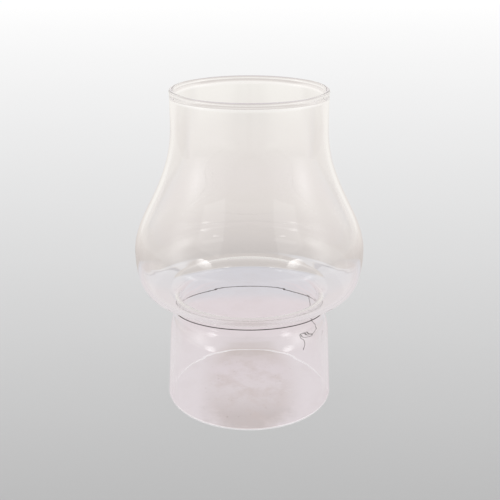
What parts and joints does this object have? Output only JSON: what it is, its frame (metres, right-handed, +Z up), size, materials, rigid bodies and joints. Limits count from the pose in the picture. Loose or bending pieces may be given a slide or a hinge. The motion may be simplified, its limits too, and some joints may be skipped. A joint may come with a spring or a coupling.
{
  "type": "glass lamp shade",
  "caption": "Clear blown glass lamp shade with an open collar, pinched waist, round bulb, straight neck and bead rim, with thin wire tied loosely round the waist.",
  "frame": {"origin": "centre of the ring that the shade stands on, at the level of the surface under its open collar", "axes": "+Z up along the shade's own axis of turning, -Y towards the viewer of the picture, +X to the viewer's right"},
  "size_m": [0.1354, 0.1354, 0.19],
  "materials": {
    "clear_glass": "fire-polished clear blown glass, slightly dusty inside the collar",
    "iron_wire": "thin soft iron binding wire, dark with age, not cast"
  },
  "bodies": {
    "glass": {"glass_shade": "clear_glass"},
    "wire": {"wire_loop": "iron_wire", "wire_twist": "iron_wire", "wire_tail": "iron_wire"}
  },
  "joints": [
    {"name": "wire_turn", "type": "hinge", "parent": "glass", "child": "wire", "pos_m": [0, 0, 0.0555], "axis": [0, 0, 1], "continuous": true}
  ]
}
